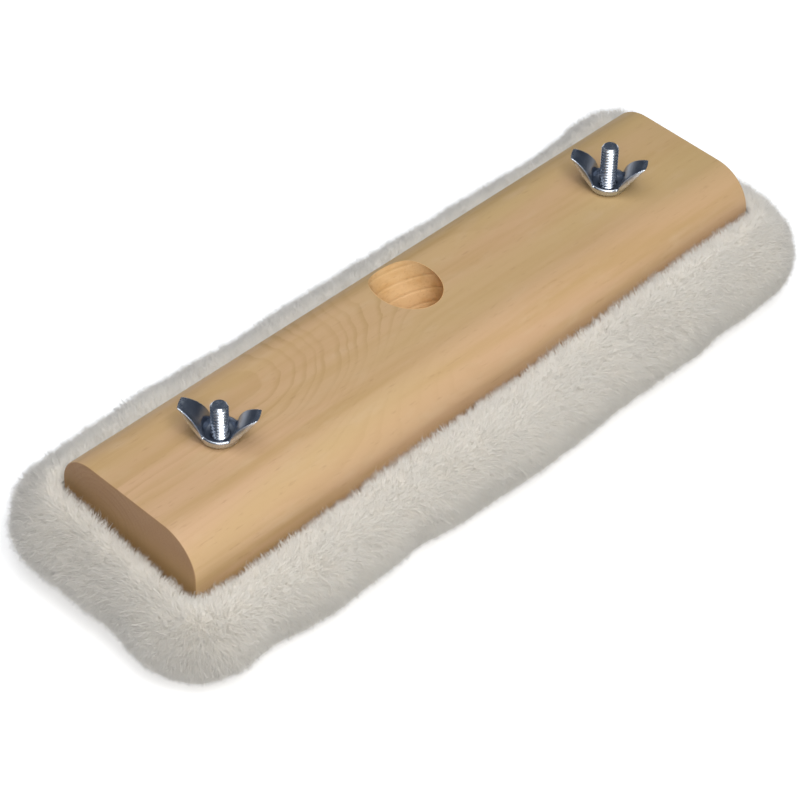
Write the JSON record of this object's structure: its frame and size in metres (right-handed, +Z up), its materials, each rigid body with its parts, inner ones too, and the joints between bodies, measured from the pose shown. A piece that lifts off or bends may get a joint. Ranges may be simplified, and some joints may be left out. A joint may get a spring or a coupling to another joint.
{
  "type": "lambswool applicator head",
  "caption": "Long wood block with rounded top edges and a slanted handle socket, held to a thick fleece applicator pad by studs with wing nuts.",
  "frame": {"origin": "bottom centre of the fleece pad, on the floor", "axes": "+X along the block towards its far end, +Y across the block towards the side the handle leans to, +Z up"},
  "size_m": [0.32, 0.112, 0.0708],
  "materials": {
    "hardwood": "bare sanded hardwood",
    "zinc_steel": "bright zinc plating",
    "lambswool": "dense soft pile, off-white",
    "felt": "pressed needle felt",
    "hardboard": "smooth hardboard",
    "canvas": "plain weave canvas",
    "cotton_tape": "woven cotton tape",
    "brass": "satin brass"
  },
  "bodies": {
    "pad": {"fleece_cover": "lambswool", "felt_core": "felt", "backing_board": "hardboard", "top_cloth": "canvas", "edge_binding": "cotton_tape", "eyelet_near": "brass", "eyelet_far": "brass", "carriage_bolt_near": "zinc_steel", "carriage_bolt_far": "zinc_steel"},
    "block": {"wood_block": "hardwood"},
    "nut_near": {"wing_nut_near": "zinc_steel"},
    "nut_far": {"wing_nut_far": "zinc_steel"}
  },
  "joints": [
    {"name": "block_lift", "type": "slide", "parent": "pad", "child": "block", "axis": [0, 0, 1], "range_m": [0, 0.055]},
    {"name": "nut_near_turn", "type": "hinge", "parent": "block", "child": "nut_near", "pos_m": [-0.09525, 0, 0.0521], "axis": [0, 0, 1], "continuous": true},
    {"name": "nut_far_turn", "type": "hinge", "parent": "block", "child": "nut_far", "pos_m": [0.09525, 0, 0.0521], "axis": [0, 0, 1], "continuous": true}
  ]
}
